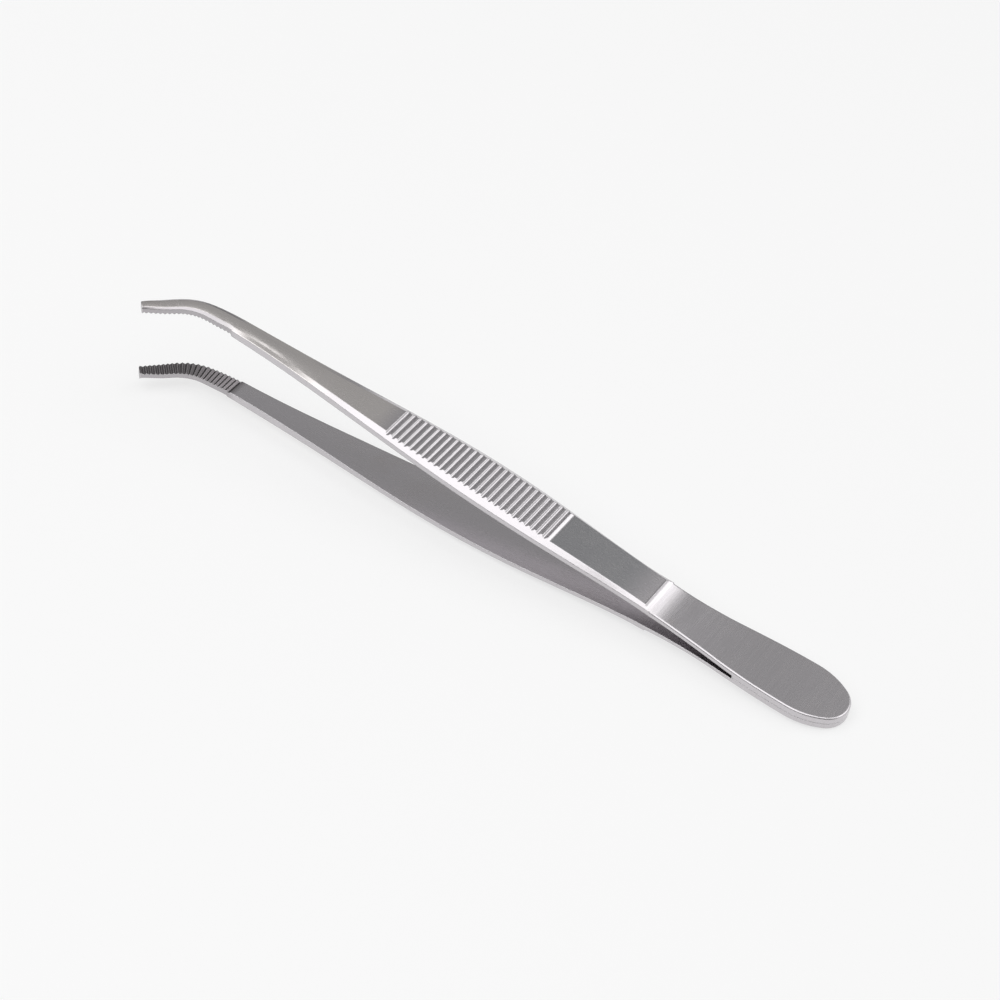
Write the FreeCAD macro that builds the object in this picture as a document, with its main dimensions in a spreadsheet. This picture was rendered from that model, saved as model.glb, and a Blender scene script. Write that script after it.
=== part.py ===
# Curved dressing forceps: two forged spring-steel arms, welded face to face at the head.
#
# Each arm is drawn in its own frame: +X runs from the butt to the tips, +Z from the weld plane
# outwards, and the jaw curves sideways. The lower arm is the same arm drawn with its jaw curving
# the other way and turned over about the long axis, so the two jaws curve together.
import FreeCAD, Part
import math
import os
import re
import Sketcher
from FreeCAD import Placement, Rotation, Vector

doc = FreeCAD.newDocument("curved_forceps")

# Driving dimensions, in millimetres and degrees.
SIZES = {
    # head: the flat, round-ended handle end where the two arms are welded
    "head_half_width": 5.6,        # widest point of the head
    "head_widest_x": 8.6,          # distance of the widest point from the butt
    "butt_radius": 4.4,            # radius of the very end, seen from above
    "head_thickness": 1.28,        # one arm, from the weld plane to its outer face
    "head_rim_radius": 0.35,       # soft edge round the outer face of the head and the leaf
    "weld_length": 18.9,           # from the butt to the blunt end of the slot
    "slot_half_gap": 0.4,          # each inner face is ground back this far where the slot starts
    # leaf spring: the thin stretch between the weld and the shoulder
    "leaf_start_x": 16.0,          # where the outer face starts to follow the opening arm
    "shoulder_x": 37.2,            # crest of the step up to the arm's full thickness
    "shoulder_half_width": 4.08,   # narrowest place, the waist
    "shoulder_run": 1.1,           # length of the concave ramp up to the crest
    "shoulder_rise": 0.47,         # height of that ramp
    "shoulder_fillet": 1.8,        # its radius
    "root_half_gap": 1.53,         # inner face above the weld plane at the shoulder
    # inner face of the arm: two straight runs joined by a long bend under the grip
    "spring_angle": 5.06,          # opening angle of the arm before the bend
    "shank_angle": 2.03,           # opening angle after it
    "knee_x": 78.1,                # where the two straight runs would meet
    "knee_run": 18.1,              # length of the bend on each side of that point
    # outer face between the shoulder and the grip, cut lower than the ribs
    "crest_thickness": 1.34,       # thickness of the arm at the shoulder's crest
    "spring_end_x": 55.9,
    "spring_thickness": 1.66,      # thickness there
    "grip_step_run": 0.9,          # the round step up to the first rib
    "grip_step_radius": 1.3,
    # ribbed grip: the grooves lie on one arc, seen from the side, and the crests close to it
    "grip_start_x": 57.4,          # middle of the first groove
    "grip_start_height": 5.16,     # crest line above the weld plane there
    "grip_end_x": 90.2,            # middle of the last groove
    "grip_end_height": 7.19,
    "grip_face_radius": 370.0,
    "grip_flank_radius": 1110.0,   # ground flatter to each side of the rib that it lies on
    "resting_rib": 11,             # that rib, counted from the shoulder
    "rib_grooves": 27,
    "groove_width": 0.78,
    "groove_depth": 0.28,
    "grip_allowance": 0.05,        # the forging stands this far over the grip until it is ground
    "middle_thickness": 1.84,
    "shank_thickness": 1.56,
    "tip_thickness": 1.42,
    "face_dome": 0.10,             # in front of the grip the outer face is higher in the middle
    # half widths of the arm from above, and where they are taken
    "grip_rear_half_width": 4.79,
    "grip_middle_x": 72.0,
    "grip_half_width": 5.02,
    "grip_front_half_width": 4.07,
    "shank_x": 106.0,
    "shank_half_width": 2.72,
    "jaw_root_half_width": 1.80,
    "tip_half_width": 1.07,
    # upright side of the arm, measured from the inner face up to the bevel
    "grip_rear_side": 0.86,
    "grip_side": 0.84,
    "grip_front_side": 0.98,
    "shank_side": 1.32,
    "jaw_side": 1.34,
    "tip_side": 1.14,
    # width of the bevel from above
    "shoulder_bevel": 0.80,
    "grip_rear_bevel": 1.20,
    "grip_bevel": 1.42,
    "grip_front_bevel": 1.08,
    "shank_bevel": 0.90,
    "jaw_bevel": 0.74,
    "tip_bevel": 0.30,
    # jaw: a slow and then a quick sideways curve, and a straight end
    "jaw_x": 124.7,                # the curve and the cross serrations start here
    "slow_radius": 41.0,
    "slow_angle": 8.0,
    "quick_radius": 9.0,
    "quick_angle": 37.0,
    "jaw_straight": 6.4,
    "tip_corner_radius": 0.5,
    # cross serrations
    "tooth_pitch": 0.82,           # nearly; each stretch of the jaw holds whole teeth
    "tooth_depth": 0.40,           # valleys below the inner face
    "tooth_crest_drop": 0.10,      # crests below the inner face
    "cut_margin": 1.0,             # cutting outlines run this far past the steel
}

sheet = doc.addObject("Spreadsheet::Sheet", "Sizes")
for row, (alias, number) in enumerate(SIZES.items(), start=1):
    sheet.set(f"A{row}", alias)
    sheet.set(f"B{row}", str(number))
    sheet.setAlias(f"B{row}", alias)
doc.recompute()

WORD = re.compile(r"[a-z_]{3,}")


def spelled_out(formula):
    """The formula as the document reads it, with the sheet's name before each alias."""
    return WORD.sub(lambda word: f"Sizes.{word[0]}" if word[0] in SIZES else word[0], formula)


def number(formula):
    """The formula's value now, for the first drawing of a shape."""
    value = sheet.evalExpression(spelled_out(formula))
    return float(getattr(value, "Value", value))


def bind(thing, path, formula):
    thing.setExpression(path, spelled_out(formula))


# Formulas that more than one feature uses.
FOOT_X = "(shoulder_x - shoulder_run)"
CREST_Z = "(root_half_gap + crest_thickness)"
FOOT_Z = f"({CREST_Z} - shoulder_rise)"
KNEE_Z = "(root_half_gap + (knee_x - shoulder_x) * tan(spring_angle * 1 deg))"
CUT_WIDTH = "(2 * (head_half_width + cut_margin))"


def rear_inner_z(x):
    """Height of the inner face's straight run between the leaf and the bend."""
    return f"(root_half_gap + (({x}) - shoulder_x) * tan(spring_angle * 1 deg))"


def inner_z(x):
    """Height of the inner face's straight run in front of the bend."""
    return f"({KNEE_Z} + (({x}) - knee_x) * tan(shank_angle * 1 deg))"


# Centre of the arc on which the crests lie, worked out from its chord.
GRIP_RUN, GRIP_RISE = "(grip_end_x - grip_start_x)", "(grip_end_height - grip_start_height)"
GRIP_SLOPE = f"atan({GRIP_RISE} / {GRIP_RUN})"
GRIP_HALF_ANGLE = f"asin(sqrt({GRIP_RUN}^2 + {GRIP_RISE}^2) / (2 * grip_face_radius))"
GRIP_CENTRE_X = (f"((grip_start_x + grip_end_x) / 2"
                 f" + grip_face_radius * cos({GRIP_HALF_ANGLE}) * sin({GRIP_SLOPE}))")
GRIP_CENTRE_Z = (f"((grip_start_height + grip_end_height) / 2"
                 f" - grip_face_radius * cos({GRIP_HALF_ANGLE}) * cos({GRIP_SLOPE}))")


RIB_TURN = f"({GRIP_HALF_ANGLE} * ((2 * resting_rib - 1) / (rib_grooves - 1) - 1) - {GRIP_SLOPE})"
REST_X = f"({GRIP_CENTRE_X} + grip_face_radius * sin({RIB_TURN}))"
REST_Z = f"({GRIP_CENTRE_Z} + grip_face_radius * cos({RIB_TURN}))"


def grip_crest_z(x):
    """Height of the rib crests' arc over a place."""
    return f"({GRIP_CENTRE_Z} + sqrt(grip_face_radius^2 - (({x}) - {GRIP_CENTRE_X})^2))"


JAW_ANGLE = "(slow_angle + quick_angle)"
SLOW_X = "(jaw_x + slow_radius * sin(slow_angle * 1 deg))"
SLOW_Y = "(slow_radius * (1 - cos(slow_angle * 1 deg)))"
SLOW_LENGTH = "(slow_radius * slow_angle * pi / 180)"
QUICK_LENGTH = "(quick_radius * quick_angle * pi / 180)"
JAW_LENGTH = f"({SLOW_LENGTH} + {QUICK_LENGTH} + jaw_straight)"


def slow_place(share):
    """Middle of the jaw at a share of its slow curve: x, y, turn and length from the root."""
    turn = f"(slow_angle * {share})"
    return (f"(jaw_x + slow_radius * sin({turn} * 1 deg))",
            f"(slow_radius * (1 - cos({turn} * 1 deg)))", turn, f"({SLOW_LENGTH} * {share})")


def quick_place(share):
    turn = f"(slow_angle + quick_angle * {share})"
    return (f"({SLOW_X} + quick_radius * (sin({turn} * 1 deg) - sin(slow_angle * 1 deg)))",
            f"({SLOW_Y} + quick_radius * (cos(slow_angle * 1 deg) - cos({turn} * 1 deg)))",
            turn, f"({SLOW_LENGTH} + {QUICK_LENGTH} * {share})")


def straight_place(share):
    end_x, end_y, turn, length = quick_place(1)
    return (f"({end_x} + jaw_straight * {share} * cos({turn} * 1 deg))",
            f"({end_y} + jaw_straight * {share} * sin({turn} * 1 deg))",
            turn, f"({length} + jaw_straight * {share})")


TIP_X = straight_place(1)[0]
ABOVE = f"({inner_z(TIP_X)} + shank_thickness + cut_margin)"


def origin_plane(body, role):
    return next(plane for plane in body.Origin.OriginFeatures if plane.Role == role)


def new_sketch(body, name, role, offset=(0, 0, 0), axis=None, turn="0"):
    """A sketch on one of the body's own planes, moved and turned by formulas in that plane's axes."""
    sketch = body.newObject("Sketcher::SketchObject", name)
    sketch.AttachmentSupport = [(origin_plane(body, role), "")]
    sketch.MapMode = "FlatFace"
    shift = Vector(*(number(str(part)) for part in offset))
    sketch.AttachmentOffset = Placement(shift, Rotation(axis or Vector(0, 0, 1), number(turn)))
    for letter, part in zip("xyz", offset):
        if part:
            bind(sketch, f"AttachmentOffset.Base.{letter}", str(part))
    if axis:
        bind(sketch, "AttachmentOffset.Rotation.Angle", turn)
    return sketch


def arc_between(start, end, radius):
    """An arc from start to end; a positive radius turns left on the way and a negative one right."""
    chord = end - start
    left = Vector(-chord.y, chord.x, 0).normalize()
    reach = math.sqrt(radius ** 2 - (chord.Length / 2) ** 2)
    centre = start + chord / 2 + left * math.copysign(reach, radius)
    first, last = (start, end) if radius > 0 else (end, start)
    angles = [math.atan2(point.y - centre.y, point.x - centre.x) for point in (first, last)]
    if angles[1] < angles[0]:
        angles[1] += 2 * math.pi
    return Part.ArcOfCircle(Part.Circle(centre, Vector(0, 0, 1), abs(radius)), *angles)


def outline(sketch, corners):
    """Closes a loop through corners (x, y) or (x, y, radius), all formulas.

    The radius makes the edge that leaves the corner an arc. Every corner is tied to the sheet.
    """
    points = [Vector(number(corner[0]), number(corner[1]), 0) for corner in corners]
    ends = []
    for place, corner in enumerate(corners):
        start, end = points[place], points[(place + 1) % len(points)]
        if len(corner) == 3:
            radius = number(corner[2])
            edge = sketch.addGeometry(arc_between(start, end, radius), False)
            ends.append((edge, 1, 2) if radius > 0 else (edge, 2, 1))
            tie = sketch.addConstraint(Sketcher.Constraint("Radius", edge, abs(radius)))
            bind(sketch, f"Constraints[{tie}]", f"abs({corner[2]})")
        else:
            edge = sketch.addGeometry(Part.LineSegment(start, end), False)
            ends.append((edge, 1, 2))
    for place, corner in enumerate(corners):
        edge, start, _ = ends[place]
        before, _, end = ends[place - 1]
        sketch.addConstraint(Sketcher.Constraint("Coincident", before, end, edge, start))
        for kind, formula, value in (("DistanceX", corner[0], points[place].x),
                                     ("DistanceY", corner[1], points[place].y)):
            tie = sketch.addConstraint(Sketcher.Constraint(kind, -1, 1, edge, start, value))
            bind(sketch, f"Constraints[{tie}]", formula)
    return sketch


def pad(body, name, sketch, length):
    feature = body.newObject("PartDesign::Pad", name)
    feature.Profile = sketch
    bind(feature, "Length", length)
    return feature


def pocket_across(body, name, sketch, width):
    """Cuts a side view right through the arm, the same to both sides of its middle."""
    feature = body.newObject("PartDesign::Pocket", name)
    feature.Profile = sketch
    feature.Midplane = True
    bind(feature, "Length", width)
    return feature


def polar_pattern(body, name, original, axis_sketch, angle, count, reverse):
    feature = body.newObject("PartDesign::PolarPattern", name)
    feature.Originals = [original]
    feature.Axis = (axis_sketch, ["N_Axis"])
    feature.Reversed = reverse
    bind(feature, "Angle", angle)
    bind(feature, "Occurrences", count)
    body.Tip = feature
    return feature


def fillet(body, name, base, chosen, radius):
    """Rounds the edges of the base feature that the function chosen picks."""
    names = [f"Edge{place}" for place, edge in enumerate(base.Shape.Edges, start=1) if chosen(edge)]
    feature = body.newObject("PartDesign::Fillet", name)
    feature.Base = (base, names)
    bind(feature, "Radius", radius)
    return feature


def head_outline(body):
    """Head and leaf from above: a round end, the widest place, and an S-curve in to the waist."""
    side_radius = ("(((head_widest_x - butt_radius)^2 + head_half_width^2 - butt_radius^2)"
                   " / (2 * (head_half_width - butt_radius)))")
    reach = f"({side_radius} - butt_radius)"
    touch_x = f"(butt_radius - butt_radius * (head_widest_x - butt_radius) / {reach})"
    touch_y = f"(butt_radius * ({side_radius} - head_half_width) / {reach})"
    half_run = f"(({FOOT_X} - head_widest_x) / 2)"
    half_drop = "((head_half_width - shoulder_half_width) / 2)"
    flank = f"(({half_run}^2 + {half_drop}^2) / (2 * {half_drop}))"
    middle_x, middle_y = f"(head_widest_x + {half_run})", f"(head_half_width - {half_drop})"
    sketch = new_sketch(body, "head_plan", "XY_Plane")
    return outline(sketch, [
        (touch_x, touch_y, "butt_radius"),
        (touch_x, f"-{touch_y}", side_radius),
        ("head_widest_x", "-head_half_width", flank),
        (middle_x, f"-{middle_y}", f"-{flank}"),
        (FOOT_X, "-shoulder_half_width"),
        (FOOT_X, "shoulder_half_width", f"-{flank}"),
        (middle_x, middle_y, flank),
        ("head_widest_x", "head_half_width", side_radius),
    ])


def head_side(body):
    """What is cut off the head blank above its flat outer face and the curving leaf."""
    rise = f"({FOOT_Z} - head_thickness)"
    leaf = f"((({FOOT_X} - leaf_start_x)^2 + {rise}^2) / (2 * {rise}))"
    sketch = new_sketch(body, "head_side", "XZ_Plane")
    return outline(sketch, [
        ("-cut_margin", "head_thickness"),
        ("leaf_start_x", "head_thickness", leaf),
        (FOOT_X, FOOT_Z),
        (FOOT_X, ABOVE),
        ("-cut_margin", ABOVE),
    ])


def section(body, name, x, half_width, floor, side_top, bevel, top, domed=True,
            sideways=0, axis=None, turn="0"):
    """One cross-section of the arm: upright sides, bevels and a flat or slightly domed outer face."""
    sketch = new_sketch(body, name, "YZ_Plane", (sideways, 0, x), axis, turn)
    face = f"({half_width} - {bevel})"
    dome = f"(({face}^2 + face_dome^2) / (2 * face_dome))"
    return outline(sketch, [
        (f"-{half_width}", floor),
        (half_width, floor),
        (half_width, side_top),
        (face, top, dome) if domed else (face, top),
        (f"-{face}", top),
        (f"-{half_width}", side_top),
    ])


def loft(body, name, sections):
    feature = body.newObject("PartDesign::AdditiveLoft", name)
    feature.Profile = sections[0]
    feature.Sections = sections[1:]
    return feature


def shank(body):
    """The straight part of the arm from the shoulder to the jaw, solid down to the weld plane."""
    middle_inner = f"({grip_crest_z('grip_middle_x')} - middle_thickness)"
    forged = [f"({height} + grip_allowance)" for height in
              ("grip_start_height", grip_crest_z("grip_middle_x"), "grip_end_height")]
    stations = [
        ("shoulder", FOOT_X, "shoulder_half_width", FOOT_Z, "shoulder_bevel", CREST_Z),
        ("grip_rear", "grip_start_x", "grip_rear_half_width",
         f"{rear_inner_z('grip_start_x')} + grip_rear_side", "grip_rear_bevel", forged[0]),
        ("grip_middle", "grip_middle_x", "grip_half_width",
         f"{middle_inner} + grip_side", "grip_bevel", forged[1]),
        ("grip_front", "grip_end_x", "grip_front_half_width",
         f"{inner_z('grip_end_x')} + grip_front_side", "grip_front_bevel", forged[2]),
        ("shank", "shank_x", "shank_half_width",
         f"{inner_z('shank_x')} + shank_side", "shank_bevel", f"{inner_z('shank_x')} + shank_thickness"),
        ("jaw_root", "jaw_x", "jaw_root_half_width",
         f"{inner_z('jaw_x')} + jaw_side", "jaw_bevel", f"{inner_z('jaw_x')} + shank_thickness"),
    ]
    loft(body, "shank_blank", [
        section(body, f"{name}_section", x, half_width, "0", side_top, bevel, top,
                domed=name in ("shank", "jaw_root"))
        for name, x, half_width, side_top, bevel, top in stations])


def jaw(body, hand):
    """The curved jaw, from the end of the straight shank to the tip."""
    places = [slow_place(0), slow_place("0.5"), slow_place(1), quick_place("1 / 3"),
              quick_place("2 / 3"), quick_place(1), straight_place("0.5"), straight_place(1)]
    sections = []
    for count, (x, y, turn, length) in enumerate(places):
        def taper(root, tip):
            """A size of the jaw here, between its root's and its tip's."""
            return f"({root} + ({tip} - {root}) * {length} / {JAW_LENGTH})"

        floor = inner_z(x)
        sections.append(section(
            body, f"jaw_section_{count}", x, taper("jaw_root_half_width", "tip_half_width"), floor,
            f"{floor} + {taper('jaw_side', 'tip_side')}", taper("jaw_bevel", "tip_bevel"),
            f"{floor} + {taper('shank_thickness', 'tip_thickness')}",
            sideways=f"({hand}) * {y}", axis=Vector(0, hand, 0), turn=turn))
    loft(body, "jaw_blank", sections)


def tip_outline(body, hand):
    """What is cut off round the tip to leave it blunt with round corners, seen from above."""
    x, y, turn, _ = straight_place(1)
    start = f"(tip_half_width + (jaw_root_half_width - tip_half_width) * tip_corner_radius / {JAW_LENGTH})"
    flat = "(tip_half_width - tip_corner_radius)"
    beyond = "(jaw_root_half_width + cut_margin)"
    sketch = new_sketch(body, "tip_plan", "XY_Plane", (x, f"({hand}) * {y}", 0),
                        Vector(0, 0, hand), turn)
    return outline(sketch, [
        ("-tip_corner_radius", start, "-tip_corner_radius"),
        ("0", flat),
        ("0", f"-{flat}", "-tip_corner_radius"),
        ("-tip_corner_radius", f"-{start}"),
        ("-tip_corner_radius", f"-{beyond}"),
        (beyond, f"-{beyond}"),
        (beyond, beyond),
        ("-tip_corner_radius", beyond),
    ])


def outer_side(body):
    """What is ground off the outer face: the spring between its concave ends, and the grip."""
    spring_z = f"({rear_inner_z('spring_end_x')} + spring_thickness)"
    rib_x = "(spring_end_x + grip_step_run)"
    sketch = new_sketch(body, "outer_side", "XZ_Plane")
    return outline(sketch, [
        (f"{FOOT_X} - cut_margin", FOOT_Z),
        (FOOT_X, FOOT_Z, "shoulder_fillet"),
        ("shoulder_x", CREST_Z),
        ("spring_end_x", spring_z, "grip_step_radius"),
        (rib_x, grip_crest_z(rib_x), "-grip_flank_radius"),
        (REST_X, REST_Z, "-grip_flank_radius"),
        ("grip_end_x", "grip_end_height"),
        ("grip_end_x", ABOVE),
        (f"{FOOT_X} - cut_margin", ABOVE),
    ])


def inner_side(body):
    """What is cut away between the weld plane and the arm's inner face, seen from the side."""
    leaf_rise = "(root_half_gap - slot_half_gap)"
    leaf_run = "(shoulder_x - weld_length)"
    leaf = (f"(sqrt({leaf_run}^2 + {leaf_rise}^2)"
            f" / (2 * sin(spring_angle * 1 deg - atan({leaf_rise} / {leaf_run}))))")
    bend_start = ("(knee_x - knee_run * cos(spring_angle * 1 deg))",
                  f"({KNEE_Z} - knee_run * sin(spring_angle * 1 deg))")
    bend_end = ("(knee_x + knee_run * cos(shank_angle * 1 deg))",
                f"({KNEE_Z} + knee_run * sin(shank_angle * 1 deg))")
    bend = "(knee_run / tan((spring_angle - shank_angle) / 2 * 1 deg))"
    beyond = f"({TIP_X} + tip_half_width + cut_margin)"
    sketch = new_sketch(body, "inner_side", "XZ_Plane")
    return outline(sketch, [
        ("weld_length", "-cut_margin"),
        (beyond, "-cut_margin"),
        (beyond, inner_z(beyond)),
        (*bend_end, bend),
        bend_start,
        ("shoulder_x", "root_half_gap", f"-{leaf}"),
        ("weld_length", "slot_half_gap"),
    ])


def circle(sketch, x, y, radius):
    """A circle whose centre and radius are formulas."""
    middle = Vector(number(x), number(y), 0)
    edge = sketch.addGeometry(Part.Circle(middle, Vector(0, 0, 1), number(radius)), False)
    for kind, formula, value in (("DistanceX", x, middle.x), ("DistanceY", y, middle.y)):
        tie = sketch.addConstraint(Sketcher.Constraint(kind, -1, 1, edge, 3, value))
        bind(sketch, f"Constraints[{tie}]", formula)
    tie = sketch.addConstraint(Sketcher.Constraint("Radius", edge, number(radius)))
    bind(sketch, f"Constraints[{tie}]", radius)
    return sketch


def grip_ribs(body):
    """Round grooves across the grip, repeated about the centre of the arc of rib crests."""
    cutter = "((groove_width^2 / 4 + groove_depth^2) / (2 * groove_depth))"
    reach = f"(grip_face_radius - groove_depth + {cutter})"
    lean = f"({GRIP_HALF_ANGLE} + {GRIP_SLOPE})"
    sketch = new_sketch(body, "groove_section", "XZ_Plane", (GRIP_CENTRE_X, GRIP_CENTRE_Z, 0))
    circle(sketch, f"(-{reach} * sin({lean}))", f"({reach} * cos({lean}))", cutter)
    groove = pocket_across(body, "grip_groove", sketch, CUT_WIDTH)
    doc.recompute()
    polar_pattern(body, "grip_grooves", groove, sketch, f"2 * {GRIP_HALF_ANGLE}", "rib_grooves", True)


def tooth_groove(body, name, place, hand):
    """One V-shaped valley across the inner face, square to the jaw's curve."""
    x, y, turn, _ = place
    half_width = ("((tooth_depth + tooth_crest_drop) * tooth_pitch"
                  " / (2 * (tooth_depth - tooth_crest_drop)))")
    sketch = new_sketch(body, f"{name}_section", "XZ_Plane",
                        (x, inner_z(x), f"({-hand}) * {y}"), Vector(0, hand, 0), turn)
    outline(sketch, [(f"-{half_width}", "-tooth_crest_drop"), (half_width, "-tooth_crest_drop"),
                     ("0", "tooth_depth")])
    return sketch, pocket_across(body, name, sketch, "2 * (jaw_root_half_width + cut_margin)")


def curved_serrations(body, name, curve, hand, lead):
    """Cross serrations along one of the jaw's two curves, repeated about that curve's centre."""
    place, centre_x, centre_y, angle, length = curve
    count = f"round({length} / tooth_pitch)"
    _, groove = tooth_groove(body, f"{name}_tooth", place(f"({lead} / {count})"), hand)
    centre = new_sketch(body, f"{name}_curve_centre", "XY_Plane",
                        (centre_x, f"({hand}) * {centre_y}", inner_z(centre_x)),
                        Vector(0, -1, 0), "shank_angle")
    doc.recompute()
    polar_pattern(body, f"{name}_teeth", groove, centre, f"{angle} * (1 - 1 / {count})", count, hand < 0)
    doc.recompute()


def straight_serrations(body, hand, lead):
    """Cross serrations along the straight end of the jaw, repeated along its inner face."""
    count = "round(jaw_straight / tooth_pitch)"
    sketch, groove = tooth_groove(body, "straight_tooth", straight_place(f"({lead} / {count})"), hand)
    slope = f"(tan(shank_angle * 1 deg) * cos({JAW_ANGLE} * 1 deg))"
    run = sketch.addGeometry(Part.LineSegment(Vector(), Vector(1, number(slope), 0)), True)
    sketch.addConstraint(Sketcher.Constraint("Coincident", -1, 1, run, 1))
    for kind, formula in (("DistanceX", "1"), ("DistanceY", slope)):
        tie = sketch.addConstraint(Sketcher.Constraint(kind, -1, 1, run, 2, number(formula)))
        bind(sketch, f"Constraints[{tie}]", formula)
    doc.recompute()
    pattern = body.newObject("PartDesign::LinearPattern", "straight_teeth")
    pattern.Originals = [groove]
    pattern.Direction = (sketch, ["Axis0"])
    bind(pattern, "Length", f"jaw_straight * (1 - 1 / {count})")
    bind(pattern, "Occurrences", count)
    body.Tip = pattern
    doc.recompute()


SLOW_CURVE = (slow_place, "jaw_x", "slow_radius", "slow_angle", SLOW_LENGTH)
QUICK_CURVE = (quick_place, f"({SLOW_X} - quick_radius * sin(slow_angle * 1 deg))",
               f"({SLOW_Y} + quick_radius * cos(slow_angle * 1 deg))", "quick_angle", QUICK_LENGTH)


def build_arm(label, hand, lead):
    """One arm; hand is 1 when its jaw curves towards +Y and -1 towards -Y.

    lead is where the first valley of each stretch of teeth lies, in pitches: the two arms differ
    by half a pitch, so that their serrations mesh when the jaws close.
    """
    body = doc.addObject("PartDesign::Body", label)
    body.Label = label
    pad(body, "head_blank", head_outline(body), ABOVE)
    faces = pocket_across(body, "head_faces", head_side(body), CUT_WIDTH)
    doc.recompute()

    def on_rim(edge):
        """The outer face's own edges, but not the one at the foot of the shoulder."""
        low, before_foot = edge.BoundBox, number(f"{FOOT_X} - cut_margin")
        across = low.XLength < number("head_rim_radius")
        return low.ZMin > number("head_thickness") / 2 and low.XMin < before_foot and not across

    fillet(body, "head_rim", faces, on_rim, "head_rim_radius")
    doc.recompute()
    shank(body)
    pocket_across(body, "outer_face", outer_side(body), CUT_WIDTH)
    pocket_across(body, "inner_face", inner_side(body), CUT_WIDTH)
    jaw(body, hand)
    pocket_across(body, "tip_corners", tip_outline(body, hand), f"2 * {ABOVE}")
    doc.recompute()
    grip_ribs(body)
    doc.recompute()
    curved_serrations(body, "slow", SLOW_CURVE, hand, lead)
    curved_serrations(body, "quick", QUICK_CURVE, hand, lead)
    straight_serrations(body, hand, lead)
    return body


def rest_tilt():
    """Angle by which the pair leans when it lies on the butt's rim and one rib of the lower arm."""
    across = number(f"{REST_X} - head_rim_radius")
    down = number(f"-{REST_Z} + head_thickness - head_rim_radius")
    reach = -number("head_rim_radius")
    return math.degrees(math.atan2(across, down) - math.acos(reach / math.hypot(across, down)))


upper = build_arm("upper_arm", 1, "0.5")
lower = build_arm("lower_arm", -1, "0")
doc.recompute()

# The pair lies on one side; the origin is under the middle of its box, on that surface.
turned_over = Rotation(Vector(1, 0, 0), 180)
leaning = Rotation(Vector(0, 1, 0), -rest_tilt())
for arm, turn in ((upper, leaning), (lower, leaning * turned_over)):
    arm.Placement = Placement(Vector(), turn)
box = Part.makeCompound([upper.Shape, lower.Shape]).optimalBoundingBox()
to_origin = Vector(-box.Center.x, -box.Center.y, -box.ZMin)
for arm in (upper, lower):
    arm.Placement = Placement(to_origin, arm.Placement.Rotation)
doc.recompute()

for thing in doc.Objects:
    if "Invalid" in thing.State or "Error" in thing.State:
        raise SystemExit(f"{thing.Name} did not build: {thing.State}")
for arm in (upper, lower):
    if arm.Shape.isNull() or not arm.Shape.isValid():
        raise SystemExit(f"{arm.Label} has no valid shape")

os.makedirs("parts", exist_ok=True)
for arm in (upper, lower):
    arm.Shape.exportStep(f"parts/{arm.Label}.step")
    print(arm.Label, "volume", round(arm.Shape.Volume, 1), "mm3,", len(arm.Shape.Faces), "faces")
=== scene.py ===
# %% [markdown]
# # Curved dressing forceps in satin stainless steel
#
# The forceps are two spring-steel arms welded together at the flat head. Their shape is finished
# metal already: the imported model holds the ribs, the shoulder and the serrated jaws at their real
# size. What this lesson adds is the steel itself. Its colour, its grinding marks, the soft edges
# and the faint stains are all worked out from the surface, so they hold from every side.

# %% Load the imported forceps
import math

import bpy
from mathutils import Matrix, Vector


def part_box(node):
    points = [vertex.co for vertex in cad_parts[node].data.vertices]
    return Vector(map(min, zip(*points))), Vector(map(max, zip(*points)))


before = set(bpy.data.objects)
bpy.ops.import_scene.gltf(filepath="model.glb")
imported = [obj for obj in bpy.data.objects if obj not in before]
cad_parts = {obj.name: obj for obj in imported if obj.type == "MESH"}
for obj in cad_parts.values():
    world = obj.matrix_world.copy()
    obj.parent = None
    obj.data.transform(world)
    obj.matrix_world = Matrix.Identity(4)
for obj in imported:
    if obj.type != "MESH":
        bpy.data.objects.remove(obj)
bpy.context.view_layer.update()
arms = {name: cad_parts[name] for name in ("upper_arm", "lower_arm")}
BUTT_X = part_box("upper_arm")[0][0]
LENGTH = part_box("upper_arm")[1][0] - BUTT_X
print("Arms loaded:", ", ".join(arms), "length", round(LENGTH * 1000, 1), "mm")

# %% [markdown]
# ## Shader maths as plain Python
#
# A ground finish needs many small sums on values. One small class wraps a node's output, so that
# `noise * 0.5 + 0.5` adds the Math nodes by itself, and one method makes every other node.

# %% A value that adds its own Math nodes
class Value:
    """A socket that can be used in Python sums."""

    def __init__(self, tree, socket):
        self.tree = tree
        self.socket = socket

    def __add__(self, other):
        return self.tree.maths("ADD", self, other)

    def __sub__(self, other):
        return self.tree.maths("SUBTRACT", self, other)

    def __rsub__(self, other):
        return self.tree.maths("SUBTRACT", other, self)

    def __mul__(self, other):
        return self.tree.maths("MULTIPLY", self, other)

    def smooth(self, low, high):
        """0 below low, 1 above high and an eased ramp between them."""
        return self.tree.node("ShaderNodeMapRange", {"interpolation_type": "SMOOTHSTEP"},
                              self, low, high, 0.0, 1.0)

    __radd__ = __add__
    __rmul__ = __mul__


print("Values can be added, subtracted and multiplied")


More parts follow.
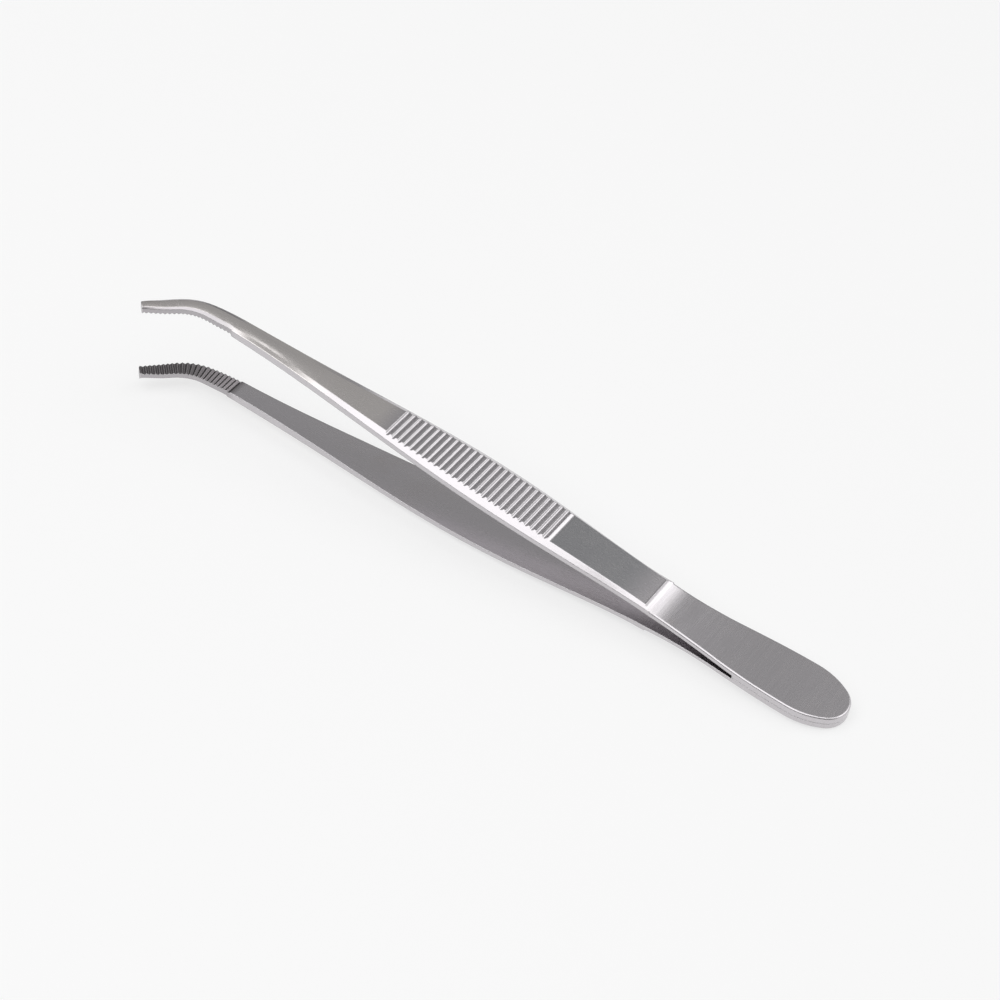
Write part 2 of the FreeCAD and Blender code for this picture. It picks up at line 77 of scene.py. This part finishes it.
# %% A material as a tree of nodes
class Tree:
    """The nodes of one material or of the world."""

    def __init__(self, owner):
        owner.use_nodes = True
        self.owner = owner
        self.nodes = owner.node_tree.nodes
        self.links = owner.node_tree.links
        self.nodes.clear()

    def node(self, kind, settings=None, *values, output=0, **named):
        """Makes a node: its settings first, then the values or links of its sockets."""
        made = self.nodes.new(kind)
        for key, setting in (settings or {}).items():
            setattr(made, key, setting)
        sockets = dict(enumerate(values))
        sockets.update({key.replace("_", " "): value for key, value in named.items()})
        for key, value in sockets.items():
            if isinstance(value, Value):
                self.links.new(value.socket, made.inputs[key])
            elif value is not None:
                made.inputs[key].default_value = value
        return Value(self, made.outputs[output]) if made.outputs else made

    def maths(self, operation, *values):
        return self.node("ShaderNodeMath", {"operation": operation}, *values)

    def noise(self, place, scale, detail=2.0, roughness=0.5):
        """A noise whose scale is a number, or three numbers for one that is stretched."""
        if isinstance(scale, tuple):
            place, scale = self.node("ShaderNodeMapping", None, place, Scale=scale), 1.0
        return self.node("ShaderNodeTexNoise", None, place, Scale=scale, Detail=detail,
                         Roughness=roughness)

    def mix(self, factor, first, second):
        """One colour laid over another by a factor."""
        made = self.nodes.new("ShaderNodeMix")
        made.data_type = "RGBA"
        for socket, value in zip((made.inputs[0], made.inputs[6], made.inputs[7]),
                                 (factor, first, second)):
            if isinstance(value, Value):
                self.links.new(value.socket, socket)
            else:
                socket.default_value = value
        return Value(self, made.outputs[2])


print("A tree of nodes can be built by one method")

# %% [markdown]
# ## Where each grinding mark runs
#
# The arms are forged, then ground and glass-beaded. On the head and the leaf the belt ran across
# the arm, and it left its clearest lines just behind the shoulder. The spring, the shank and the
# inner faces were ground lengthwise. Distances along the arm, from the butt, tell these apart, so
# each kind of line is a stretched noise times a soft mask. The grinding wheel also left the leaf
# slightly hollow in front of the shoulder: there the height grows with the square of the distance.

# %% Stretches of the arm, in metres from the butt
BELT_START, BELT_CLEAR = 0.0215, 0.0352
HOLLOW_START = 0.0322
HEAD_END, SHOULDER = 0.0363, 0.0372
SPRING_CLEAR, SPRING_FADE = 0.0432, 0.0550
RIBS_START = 0.0570
SHANK_START, SHANK_CLEAR = 0.0895, 0.0935
JAWS_START, TEETH_START = 0.1230, 0.1250


def arm_masks(tree, place):
    """How much of each stretch lies at a point, and how far the hollow has risen there, squared."""
    along = tree.node("ShaderNodeSeparateXYZ", None, place) - BUTT_X
    head = 1 - along.smooth(HEAD_END, SHOULDER)
    belt = along.smooth(BELT_START, BELT_CLEAR) * head
    spring = along.smooth(SHOULDER, SPRING_CLEAR) * (1 - along.smooth(SPRING_FADE, RIBS_START))
    shank = along.smooth(SHANK_START, SHANK_CLEAR)
    jaws = along.smooth(JAWS_START, TEETH_START)
    past_start = tree.maths("MAXIMUM", along - HOLLOW_START, 0.0)
    return head, belt, spring, shank, jaws, past_start * past_start * head


print("Shoulder", SHOULDER * 1000, "mm from the butt")

# %% [markdown]
# ## Satin steel
#
# Surgical steel has a soft grey shine that doesn't dazzle in the operating light. The lines and
# the beaded grain only shift the roughness and tip the normal a little, which is what real
# grinding does. The edges were tumbled, so they are rounder than the faces: a Bevel node rounds
# the normal there, where it departs from the flat normal the steel is polished, and its colour is
# lighter there: polish wear together with a painted highlight.
# Each arm has its own copy, because the inner face of one looks up and that of the other down.

# %% Steel colours
STEEL = (0.60, 0.578, 0.598, 1.0)
# Painted shade: a darker copy of the steel on the spring's outer face.
SPRING_FACE_PAINTED_SHADE = (0.44, 0.44, 0.455, 1.0)
# Painted light: a lighter, warmer copy of the steel on the shank's outer face.
SHANK_FACE_PAINTED_LIGHT = (0.76, 0.725, 0.71, 1.0)
# Lighter colour on the edges: polish wear together with a painted highlight.
EDGE_POLISH_AND_HIGHLIGHT = (0.72, 0.71, 0.715, 1.0)
WARM_STAIN = (0.50, 0.455, 0.44, 1.0)
# Crevice colour: residue together with painted shade in the grooves and between the teeth.
CREVICE_RESIDUE_AND_SHADE = (0.10, 0.092, 0.10, 1.0)
# Painted shade on the teeth and the inner side of the jaws.
TEETH_PAINTED_SHADE = (0.13, 0.115, 0.122, 1.0)
print("Satin steel base colour", STEEL[:3])

# %% Sizes of the finish, in metres, and scales of its noises, per metre
EDGE_RADIUS = 0.00024
GROOVE_REACH = 0.0007
HOLLOW_RADIUS = 0.024
MARK_DEPTH = 0.000012
ACROSS_LINES = (7000.0, 160.0, 160.0)
ALONG_LINES = (130.0, 6500.0, 6500.0)
BELT_WAVES = (1500.0, 90.0, 90.0)
BEADED_GRAIN = 9000.0
CLOUDS = 110.0
STAINS = 70.0
SATIN = 0.255
SAMPLES = {"samples": 8}
print("Edges rounded over", EDGE_RADIUS * 1000, "mm")


# %% Steel material
def steel(name, inward):
    """Steel of one arm; inward is 1 when the arm's inner face looks up and -1 when it looks down."""
    tree = Tree(bpy.data.materials.new(name))
    place = tree.node("ShaderNodeTexCoord", output="Object")
    head, belt, spring, shank, jaws, hollow = arm_masks(tree, place)

    across = tree.noise(place, ACROSS_LINES, 3.0, 0.6)
    along = tree.noise(place, ALONG_LINES, 3.0, 0.6)
    waves = tree.noise(place, BELT_WAVES, 1.0) - 0.5
    grain = tree.noise(place, BEADED_GRAIN, 2.0, 0.6) - 0.5
    cloud = tree.noise(place, CLOUDS, 3.0) - 0.5
    stain = tree.noise(place, STAINS, 4.0, 0.6).smooth(0.60, 0.78)
    lines = (across - 0.5) * head + (along - 0.5) * (1 - head)

    rounded = tree.node("ShaderNodeBevel", SAMPLES, EDGE_RADIUS)
    flat = tree.node("ShaderNodeNewGeometry", output="Normal")
    alike = tree.node("ShaderNodeVectorMath", {"operation": "DOT_PRODUCT"}, rounded, flat,
                      output="Value")
    edge = 1 - alike.smooth(0.86, 0.995)
    facing = tree.node("ShaderNodeSeparateXYZ", None, flat, output="Z") * inward
    inner = facing.smooth(0.10, 0.50)
    outer = (0 - facing).smooth(0.93, 0.985)
    # Darker in the grooves and between the teeth, more so in the jaws: residue together with painted
    # shade.
    open_sky = tree.node("ShaderNodeAmbientOcclusion", SAMPLES, Distance=GROOVE_REACH, output="AO")
    crevice_residue_and_shade = (1 - open_sky.smooth(0.30, 0.85)) * (0.45 + jaws * 0.40)

    # Painted shade on the spring's outer face.
    colour = tree.mix(spring * outer, STEEL, SPRING_FACE_PAINTED_SHADE)
    # Painted light on the shank's outer face.
    colour = tree.mix(shank * outer, colour, SHANK_FACE_PAINTED_LIGHT)
    # Painted shade over the jaws, strongest on the inner faces.
    colour = tree.mix(jaws * (1 - outer) * (inner * 0.55 + 0.30), colour, TEETH_PAINTED_SHADE)
    colour = tree.mix(cloud * 0.5 + lines * 0.5 + stain * 0.30, colour, WARM_STAIN)
    # Lighter on the edges, more on the tooth crests: polish wear together with a painted highlight.
    colour = tree.mix(edge * (jaws * 0.35 + 0.4), colour, EDGE_POLISH_AND_HIGHLIGHT)
    colour = tree.mix(crevice_residue_and_shade, colour, CREVICE_RESIDUE_AND_SHADE)

    roughness = (SATIN + lines * 0.14 + grain * 0.04 + cloud * 0.06 + waves * belt * 0.10
                 - edge * 0.04)
    marks = lines * 0.05 + grain * 0.06 + waves * belt * 1.6
    marked = tree.node("ShaderNodeBump", None, Strength=0.30, Distance=MARK_DEPTH, Height=marks,
                       Normal=rounded)
    hollowed = tree.node("ShaderNodeBump", None, Strength=1.0, Distance=1.0,
                         Height=hollow * outer * (0.5 / HOLLOW_RADIUS), Normal=marked)
    shader = tree.node("ShaderNodeBsdfPrincipled", None, Base_Color=colour, Metallic=1.0,
                       Roughness=roughness, Normal=hollowed)
    tree.node("ShaderNodeOutputMaterial", None, shader)
    return tree.owner


for name, inward in (("upper_arm", -1), ("lower_arm", 1)):
    satin = steel(f"satin_steel_of_{name}", inward)
    for slot in arms[name].material_slots:
        slot.material = satin
print("Both arms have the satin steel")

# %% [markdown]
# ## Floor
#
# The floor is a plain pale sheet. Seen by the camera or mirrored in the steel it is mostly a flat
# pale glow, with a share of plain diffuse paint that keeps the soft shadow of the forceps.
# Everything else sees ordinary paint, so that no extra light comes off it. It lies a hair below the
# arms, so that the two never flicker into each other.

# %% Floor
FLOOR_SIZE = 3.0
FLOOR_DROP = 0.00002
PALE = 0.93
SHADED_SHARE = 0.30
LIGHT_LEVEL = 0.94


def grey(level):
    return (level, level, level, 1.0)


def seen_directly(tree):
    """1 for rays of the camera, of a mirror image and of clear glass."""
    rays = {name: tree.node("ShaderNodeLightPath", output=f"Is {name} Ray")
            for name in ("Camera", "Glossy", "Transmission")}
    return (rays["Camera"] + rays["Glossy"] + rays["Transmission"]).smooth(0.0, 1.0)


bpy.ops.mesh.primitive_plane_add(size=FLOOR_SIZE, location=(0, 0, -FLOOR_DROP))
floor = bpy.context.object
floor.name = "floor"
tree = Tree(bpy.data.materials.new("pale_floor"))
glow = tree.node("ShaderNodeEmission", None, grey(PALE * (1 - SHADED_SHARE)), 1.0)
paint = tree.node("ShaderNodeBsdfDiffuse", None, grey(PALE * SHADED_SHARE / LIGHT_LEVEL))
pale = tree.node("ShaderNodeAddShader", None, glow, paint)
plain = tree.node("ShaderNodeBsdfDiffuse", None, grey(PALE))
tree.node("ShaderNodeOutputMaterial", None,
          tree.node("ShaderNodeMixShader", None, seen_directly(tree), plain, pale))
floor.data.materials.append(tree.owner)
print("Floor", FLOOR_SIZE, "m wide")

# %% [markdown]
# ## Light
#
# Steel shows its surroundings, so the lights are laid out by what each face mirrors to the
# viewer. One soft panel hangs over the butt's side and one over the near side. The bevels and the
# butt-side flanks of the ribs mirror a panel and turn white. The faces on top mirror the plain
# grey room between the panels, and the tip-side flanks mirror its darker lower wall.

# %% Room
ROOM = 0.37
BUTT_WALL = 0.50
TIP_WALL = 0.20
world = bpy.data.worlds.new("studio")
bpy.context.scene.world = world
tree = Tree(world)
direction = tree.node("ShaderNodeTexCoord", output="Generated")
towards = {letter: tree.node("ShaderNodeSeparateXYZ", None, direction, output=letter)
           for letter in "XYZ"}
low = 1 - towards["Z"].smooth(0.15, 0.60)
butt_side = (0 - towards["X"]).smooth(0.05, 0.50) * (1 - towards["Y"].smooth(-0.15, 0.35))
tip_side = towards["X"].smooth(0.25, 0.75)
level = ROOM + butt_side * BUTT_WALL - low * tip_side * TIP_WALL
level = level - low * towards["Y"].smooth(0.1, 0.6) * TIP_WALL
camera_ray = tree.node("ShaderNodeLightPath", output="Is Camera Ray")
sky = tree.node("ShaderNodeBackground", None, level * (1 - camera_ray) + camera_ray * PALE, 1.0)
tree.node("ShaderNodeOutputWorld", None, sky)
print("Room", ROOM, "and", ROOM + BUTT_WALL, "on the butt's side")

# %% Soft panels
PANEL_HEIGHT = 0.8
PANEL_GLOW = 1.35


def panel(name, x_range, y_range):
    """A level lamp above the table that glows as evenly as paper, over a range of X and Y."""
    data = bpy.data.lights.new(name, "AREA")
    data.shape = "RECTANGLE"
    data.size, data.size_y = x_range[1] - x_range[0], y_range[1] - y_range[0]
    data.energy = PANEL_GLOW * math.pi * data.size * data.size_y
    lamp = bpy.data.objects.new(name, data)
    lamp.location = (sum(x_range) / 2, sum(y_range) / 2, PANEL_HEIGHT)
    bpy.context.scene.collection.objects.link(lamp)
    print(name, "gives", round(data.energy, 1), "W")


panel("panel_over_butt", (-0.85, -0.14), (-0.90, -0.28))
panel("panel_on_near_side", (-0.36, 0.78), (-0.22, 1.15))

# %% [markdown]
# ## Camera
#
# A long lens stands behind the butt, well above the table, and looks down the length of the arms.

# %% Camera
CAMERA_PLACE = Vector((-0.16629, 0.27922, 0.33483))
CAMERA_TARGET = Vector((0.00248, -0.00916, 0.0))
CAMERA_ROLL = math.radians(4.97)
CAMERA_LENS = 98.2

camera_data = bpy.data.cameras.new("camera")
camera_data.lens = CAMERA_LENS
camera_data.sensor_width = 36.0
camera_data.clip_start = 0.01
camera = bpy.data.objects.new("camera", camera_data)
aim = (CAMERA_TARGET - CAMERA_PLACE).to_track_quat("-Z", "Y").to_matrix().to_4x4()
camera.matrix_world = Matrix.Translation(CAMERA_PLACE) @ aim @ Matrix.Rotation(CAMERA_ROLL, 4, "Z")
bpy.context.scene.collection.objects.link(camera)
bpy.context.scene.camera = camera
bpy.context.scene.view_settings.view_transform = "Standard"
print("Camera", round(CAMERA_LENS), "mm")
